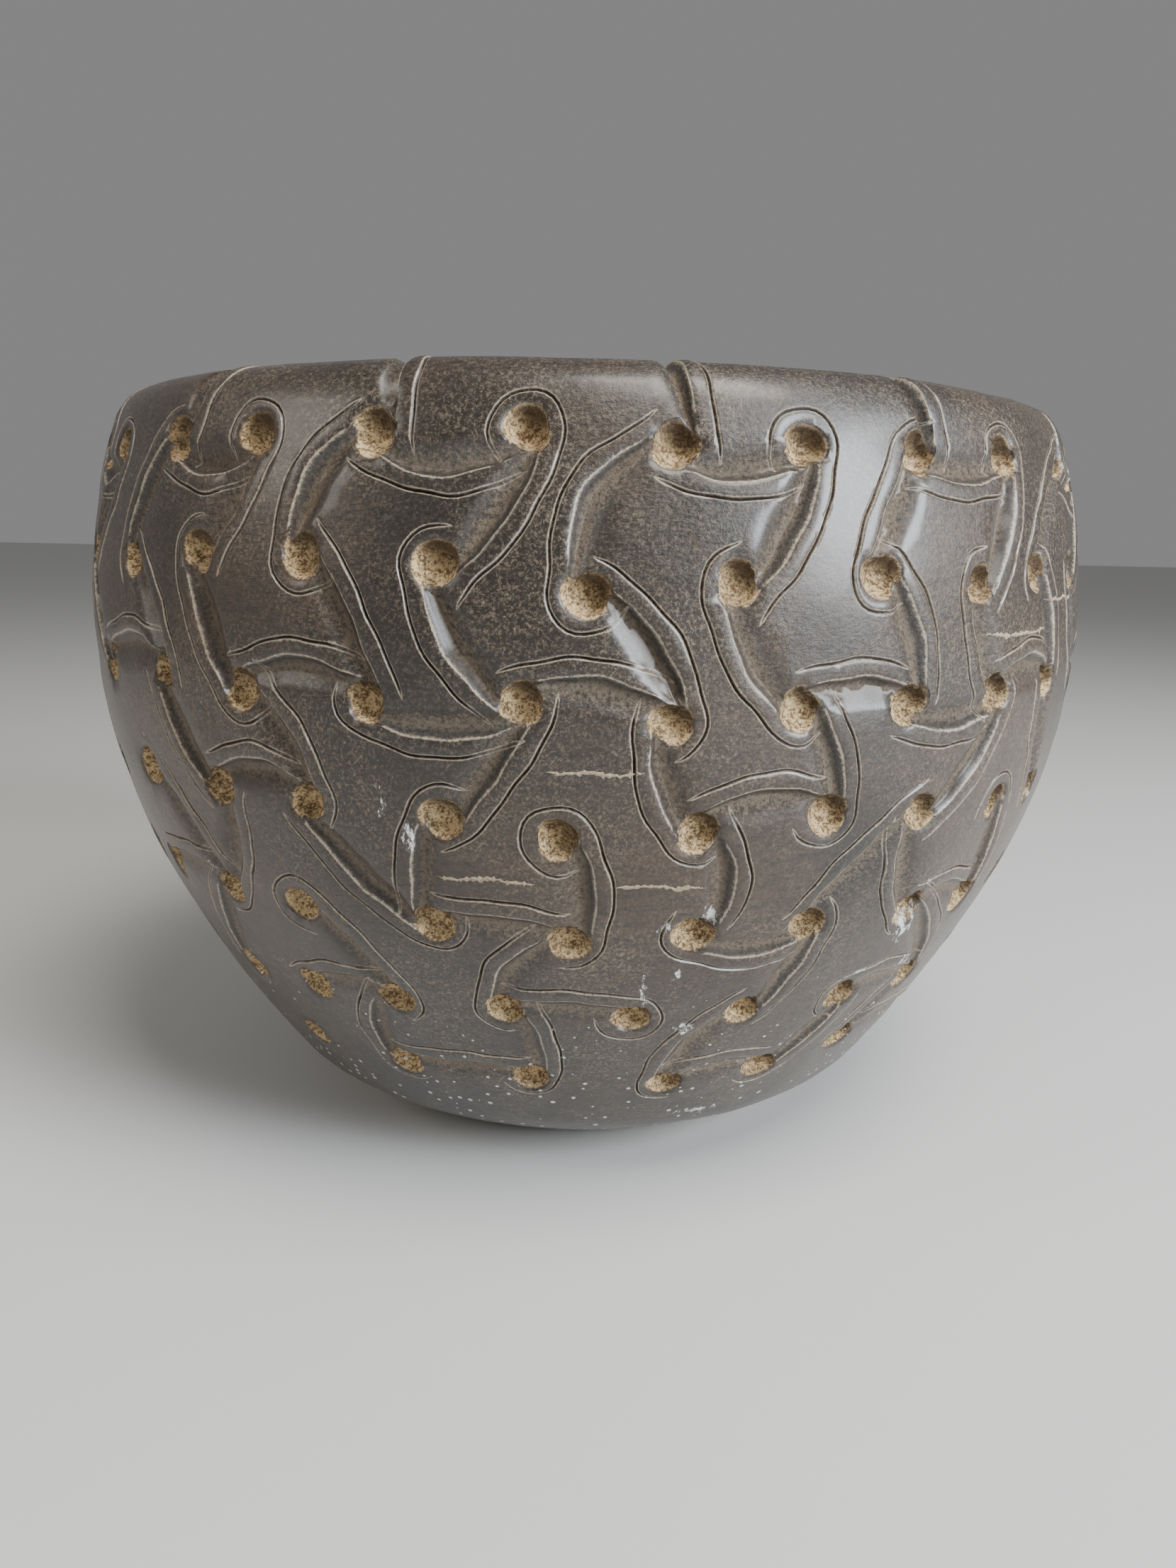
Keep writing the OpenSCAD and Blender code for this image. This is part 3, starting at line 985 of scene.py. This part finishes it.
def relief(sheet, shader, heights):
    """Bump nodes one after another: each is a height, its strength and its distance."""
    normal = None
    for height, strength, distance in heights:
        node = sheet.node("ShaderNodeBump", Height=height, Strength=strength, Distance=distance)
        if normal:
            sheet.links.new(normal, node.inputs["Normal"])
        normal = node.outputs[0]
    sheet.links.new(normal, shader.inputs["Normal"])


# Fixed dark colours: grain lines, pores, painted shade in the crease at the foot of a cut and in the bed of a
# fine line, painted shade on the upper right wall of a pit, and grit in the filling
GRAIN_LINE, PORE, CREASE_PAINTED_SHADE = (0.012, 0.009, 0.007), (0.006, 0.005, 0.004), (0.008, 0.006, 0.005)
PIT_PAINTED_SHADE, GRIT = (0.015, 0.009, 0.005), (0.05, 0.03, 0.02)
COAT_ROUGHNESS = 0.24
# The ways that the fine scratches run
SCRATCH_TURNS = ((0.3, 0.8, 0.5), (0.2, -0.6, 0.9), (0.5, 1.5, 0.2))


def bare_wood(sheet, place, finish, wood, low_down):
    """Burnished wood with its grain, pores and fine scratches, and the mottling that is worn into it."""
    base = sheet.mix(wood.outputs["Patches"], finish.dark_wood, finish.warm_wood)
    base = sheet.mix(low_down, base, finish.grey_wood)
    base = sheet.mix(sheet.times(wood.outputs["Streaks"], 0.55), base, GRAIN_LINE)
    mottle = sheet.spread(sheet.noise(place, 1100.0, 6.0, 0.85), 0.48, 0.62)
    clouds = sheet.spread(sheet.noise(place, 38.0, 4.0, 0.6), 0.3, 0.7, 0.2, 1.0)
    base = sheet.mix(sheet.times(sheet.times(mottle, clouds), 0.52), base, finish.rubbed_wood)
    pores = sheet.noise(sheet.stretched(place, (0.35, 1.0, 1.0)), 900.0, 4.0, 0.8)
    base = sheet.mix(sheet.times(sheet.spread(pores, 0.47, 0.36), 0.75), base, PORE)
    for turn in SCRATCH_TURNS:
        scratches = sheet.noise(sheet.stretched(place, (0.05, 0.6, 1.0), turn), 1500.0, 3.0, 0.7)
        scratches = sheet.times(sheet.spread(scratches, 0.62, 0.72), clouds)
        base = sheet.mix(sheet.times(scratches, 0.4), base, finish.rubbed_wood)
    return base, mottle


def worn_cuts(sheet, base, finish, masks, ragged, height):
    """The wood with its cuts, edges, fine lines and worn base, with painted shade in the crease at the foot of
    each cut's wall and in the bed of each fine line, and how far each place is in a cut.
    """
    in_cut = sheet.spread(sheet.plus(sheet.times(masks["cut"], 0.3), ragged), 0.62, 0.86)
    base = sheet.mix(sheet.times(in_cut, 0.55), base, finish.rubbed_wood)
    # Painted shade: the crease at the foot of each cut's wall is mixed towards a near-black tone
    base = sheet.mix(sheet.times(masks["foot"], 0.72), base, CREASE_PAINTED_SHADE)
    on_edge = sheet.spread(sheet.plus(sheet.times(masks["edge"], 0.65), ragged), 0.85, 1.2)
    base = sheet.mix(sheet.times(on_edge, 0.8), base, finish.dust)
    line = masks["line"]
    burr = sheet.times(sheet.spread(line, 0.02, 0.22), sheet.spread(line, 0.65, 0.35))
    burr = sheet.spread(sheet.plus(sheet.times(burr, 0.5), ragged), 0.72, 1.05)
    base = sheet.mix(sheet.times(burr, 0.6), base, finish.dust)
    # Painted shade: the bed of each fine line is mixed towards a near-black tone
    base = sheet.mix(sheet.times(sheet.spread(line, 0.7, 1.05), 0.35), base, CREASE_PAINTED_SHADE)
    worn_base = sheet.times(sheet.spread(height, 0.012, 0.002), sheet.spread(ragged, 0.35, 0.6))
    return sheet.mix(sheet.times(worn_base, 0.8), base, finish.dust), in_cut


def raw_fibres(sheet, place, finish, under):
    """Torn pale fibres with dark flecks, with painted shade on the upper right wall of a pit, and the level of
    the fibres.
    """
    fibres = sheet.noise(place, 1500.0, 3.0, 0.7)
    clumps = sheet.noise(sheet.stretched(place, (0.7, 1.0, 1.0)), 650.0, 4.0, 0.75)
    level = sheet.plus(sheet.times(fibres, 0.55), sheet.times(clumps, 0.45))
    raw = sheet.mix(sheet.spread(level, 0.42, 0.57), finish.deep_wood, finish.raw_wood)
    stains = sheet.spread(sheet.noise(place, 110.0, 3.0), 0.45, 0.75, 0.0, 0.5)
    raw = sheet.mix(stains, raw, finish.deep_wood)
    # Painted shade: the upper right wall of each pit is mixed towards a dark tone
    return sheet.mix(sheet.times(under, 0.9), raw, sheet.mix(0.75, finish.deep_wood, PIT_PAINTED_SHADE)), level


def carved_wood_material(finish, grain, dust, paint):
    """Dark burnished wood, rubbed pale along its cut edges, with raw fibres in the pits and dust in cuts."""
    material, sheet, shader = new_material("Burnished carved wood")
    place = sheet.node("ShaderNodeTexCoord").outputs["Object"]
    masks = {name: sheet.mask(name) for name in MASKS}
    wood = placed(sheet, grain, Place=place)
    height = sheet.node("ShaderNodeSeparateXYZ", Vector=place).outputs["Z"]
    low_down = sheet.times(sheet.spread(height, 0.11, 0.02), 0.7)
    ragged = sheet.noise(place, 1000.0, 5.0, 0.8)

    base, mottle = bare_wood(sheet, place, finish, wood, low_down)
    base, in_cut = worn_cuts(sheet, base, finish, masks, ragged, height)
    # This mask carries the painted shade on the upper right wall of each pit
    raw, level = raw_fibres(sheet, place, finish, masks["under"])
    raw_mask = sheet.spread(sheet.plus(masks["pit"], sheet.times(ragged, 0.3)), 0.35, 0.7)
    base = sheet.mix(raw_mask, base, raw)
    amount = sheet.plus(sheet.times(masks["cut"], 0.25), sheet.times(low_down, 0.25))
    settled = placed(sheet, dust, Place=place, Amount=amount).outputs["Dust"]
    base = sheet.mix(sheet.times(settled, 0.45), base, finish.dust)
    splashed = sheet.times(low_down, sheet.mask("outside"))
    spatter = placed(sheet, paint, Place=place, Amount=splashed, Smear=sheet.mask("smear")).outputs["Paint"]
    sheet.set(shader, "Base Color", sheet.mix(spatter, base, finish.paint))

    worn = sheet.math("MAXIMUM", raw_mask, sheet.times(sheet.math("MAXIMUM", in_cut, settled), 0.4))
    rough = sheet.plus(sheet.times(worn, 0.5), finish.burnish)
    sheet.set(shader, "Roughness", sheet.math("ADD", rough, sheet.times(mottle, 0.2), clamp=True))
    polish = sheet.times(sheet.math("SUBTRACT", 1.0, worn, clamp=True), finish.polish)
    sheet.set(shader, "Coat Weight", polish)
    sheet.set(shader, "Coat Roughness", COAT_ROUGHNESS)

    brushed = sheet.noise(sheet.stretched(place, (0.12, 1.0, 1.0), (0.0, 0.1, 0.5)), 1000.0, 4.0, 0.75)
    dented = sheet.noise(place, 120.0, 6.0, 0.65)
    relief(sheet, shader, [
        (wood.outputs["Relief"], 0.4, 0.0007), (brushed, 0.4, 0.0006), (dented, 0.35, 0.0012),
        (sheet.times(level, raw_mask), 0.8, 0.0006), (sheet.times(ragged, masks["cut"]), 0.9, 0.0012),
    ])
    return material


def crack_fill_material(finish, dust):
    """Dry pale filling, crumbly and dull."""
    material, sheet, shader = new_material("Dry crack filling")
    place = sheet.node("ShaderNodeTexCoord").outputs["Object"]
    crumbs = sheet.noise(place, 1400.0, 4.0, 0.7)
    gritty = sheet.mix(0.5, finish.crack_fill, GRIT)
    tone = sheet.mix(sheet.spread(crumbs, 0.35, 0.65), gritty, finish.crack_fill)
    settled = placed(sheet, dust, Place=place, Amount=0.4).outputs["Dust"]
    sheet.set(shader, "Base Color", sheet.mix(sheet.times(settled, 0.5), tone, finish.dust))
    sheet.set(shader, "Roughness", sheet.spread(crumbs, 0.2, 0.8, 0.72, 0.95))
    relief(sheet, shader, [(crumbs, 0.6, 0.0005)])
    return material


def floor_material(colour_of_floor):
    material, sheet, shader = new_material("Plain floor")
    place = sheet.node("ShaderNodeTexCoord").outputs["Object"]
    tone = sheet.mix(sheet.noise(place, 6.0, 3.0), [c * 0.97 for c in colour_of_floor], colour_of_floor)
    sheet.set(shader, "Base Color", tone)
    sheet.set(shader, "Roughness", 0.7)
    return material


# --- operators

def shared_group(name, build):
    return bpy.data.node_groups.get(name) or build()


def put(name, mesh, material, node):
    piece = bpy.data.objects.new(name, mesh)
    bpy.context.scene.collection.objects.link(piece)
    mesh.materials.append(material)
    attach(piece, "root")
    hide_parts(node)
    return piece


# Where the camera stands, and its angles in degrees
CAMERA_PLACE = Vector((0.0, -0.405, 0.187))
CAMERA_YAW, CAMERA_DIP, CAMERA_ROLL = -0.29, 12.25, 1.24
SENSOR_WIDTH, CLIP_START = 36, 0.01


class BOWL_OT_camera(bpy.types.Operator):
    """Set the camera level with the shoulder of the bowl, close to its front"""
    bl_idname = "bowl.camera"
    bl_label = "Camera"

    def execute(self, context):
        camera = bpy.data.cameras.new("bowl_camera")
        camera.lens = context.scene.bowl_stage.lens
        camera.sensor_width = SENSOR_WIDTH
        camera.clip_start = CLIP_START
        eye = bpy.data.objects.new("bowl_camera", camera)
        turned = (Matrix.Rotation(math.radians(CAMERA_YAW), 4, "Z")
                  @ Matrix.Rotation(math.radians(90 - CAMERA_DIP), 4, "X")
                  @ Matrix.Rotation(math.radians(CAMERA_ROLL), 4, "Z"))
        eye.matrix_world = Matrix.Translation(CAMERA_PLACE) @ turned
        context.scene.collection.objects.link(eye)
        context.scene.camera = eye
        return {"FINISHED"}


# How bright the plain surroundings are
SKY = 0.24

# Each light: its name, its place, its width, its tint and its power as a multiple of the main light's
LIGHTS = [
    ("window_right", (1.15, -0.80, 0.66), 0.6, (0.86, 0.93, 1.0), 1.0),
    ("window_left", (-1.3, -0.6, 0.9), 0.6, (1.0, 0.95, 0.88), 0.14),
    ("overhead", (0.4, -0.6, 1.45), 0.7, (1.0, 0.96, 0.91), 0.6),
]
# The place that every light points at
LIGHTS_AIM = Vector((0, 0, 0.12))
# Half the width of the floor, in widths of the bowl
FLOOR_REACH = 40


class BOWL_OT_stage(bpy.types.Operator):
    """Lay the floor and set the soft studio lights"""
    bl_idname = "bowl.stage"
    bl_label = "Floor and lights"

    def execute(self, context):
        stage = context.scene.bowl_stage
        size = FLOOR_REACH * (HIGH.x - LOW.x)
        mesh = bpy.data.meshes.new("floor")
        corners = [(-size, -size, 0), (size, -size, 0), (size, size, 0), (-size, size, 0)]
        mesh.from_pydata(corners, [], [(0, 1, 2, 3)])
        mesh.materials.append(floor_material(tuple(stage.floor)))
        floor = bpy.data.objects.new("floor", mesh)
        context.scene.collection.objects.link(floor)
        for name, place, width, tint, power in LIGHTS:
            light = bpy.data.lights.new(name, "AREA")
            light.size, light.color, light.energy = width, tint, power * stage.key_power
            lamp = bpy.data.objects.new(name, light)
            lamp.location = place
            lamp.rotation_euler = (LIGHTS_AIM - lamp.location).to_track_quat("-Z", "Y").to_euler()
            context.scene.collection.objects.link(lamp)
        world = bpy.data.worlds.new("studio")
        world.use_nodes = True
        world.node_tree.nodes["Background"].inputs["Color"].default_value = (1.0, 1.0, 1.0, 1.0)
        world.node_tree.nodes["Background"].inputs["Strength"].default_value = SKY
        context.scene.world = world
        return {"FINISHED"}


# Edges of the carving that turn more than this stay sharp
SHARP_ANGLE = math.radians(50)


class BOWL_OT_body(bpy.types.Operator):
    """Carve the bowl: its pits, slanted cuts, fine lines, rim and hollow"""
    bl_idname = "bowl.body"
    bl_label = "Bowl body"

    def execute(self, context):
        scene = context.scene
        grain = shared_group("Wood grain", wood_grain_group)
        dust = shared_group("Settled dust", settled_dust_group)
        mesh = bowl_mesh(scene.bowl_shape, scene.bowl_carving)
        mesh.shade_smooth()
        mesh.set_sharp_from_angle(angle=SHARP_ANGLE)
        paint = shared_group("Paint spatter", paint_spatter_group)
        wood = carved_wood_material(scene.bowl_finish, grain, dust, paint)
        put("bowl_body_carved", mesh, wood, "bowl_body")
        return {"FINISHED"}


class BOWL_OT_cracks(bpy.types.Operator):
    """Fill the drying cracks with pale dry filling"""
    bl_idname = "bowl.cracks"
    bl_label = "Crack filling"

    def execute(self, context):
        scene = context.scene
        dust = shared_group("Settled dust", settled_dust_group)
        line = outside_line(scene.bowl_shape)
        pits, arms = pits_and_arms(line, scene.bowl_carving)
        mesh = crack_mesh(line, pits, arms, scene.bowl_carving)
        put("check_filler_packed", mesh, crack_fill_material(scene.bowl_finish, dust), "check_filler")
        return {"FINISHED"}


class BOWL_PT_panel(bpy.types.Panel):
    """The sizes, colours and steps of the bowl"""
    bl_idname = "BOWL_PT_panel"
    bl_label = "Carved Bowl"
    bl_space_type = "VIEW_3D"
    bl_region_type = "UI"
    bl_category = "Carved Bowl"

    def draw(self, context):
        scene = context.scene
        for title, settings in (("Shape", scene.bowl_shape), ("Carving", scene.bowl_carving),
                                ("Finish", scene.bowl_finish), ("Stage", scene.bowl_stage)):
            box = self.layout.box()
            box.label(text=title)
            for name in type(settings).__annotations__:
                box.prop(settings, name)
        for step in STEPS:
            self.layout.operator(step.bl_idname)


SETTINGS = {"bowl_shape": BowlShape, "bowl_carving": BowlCarving, "bowl_finish": BowlFinish,
            "bowl_stage": BowlStage}
STEPS = (BOWL_OT_camera, BOWL_OT_body, BOWL_OT_cracks, BOWL_OT_stage)


def register():
    for item in (*SETTINGS.values(), *STEPS, BOWL_PT_panel):
        bpy.utils.register_class(item)
    for name, settings in SETTINGS.items():
        setattr(bpy.types.Scene, name, bpy.props.PointerProperty(type=settings))


def unregister():
    for name in SETTINGS:
        delattr(bpy.types.Scene, name)
    for item in (BOWL_PT_panel, *reversed(STEPS), *reversed(SETTINGS.values())):
        bpy.utils.unregister_class(item)


def main():
    register()
    bpy.ops.bowl.camera()
    bpy.ops.bowl.body()
    bpy.ops.bowl.cracks()
    bpy.ops.bowl.stage()


if __name__ == "__main__":
    main()
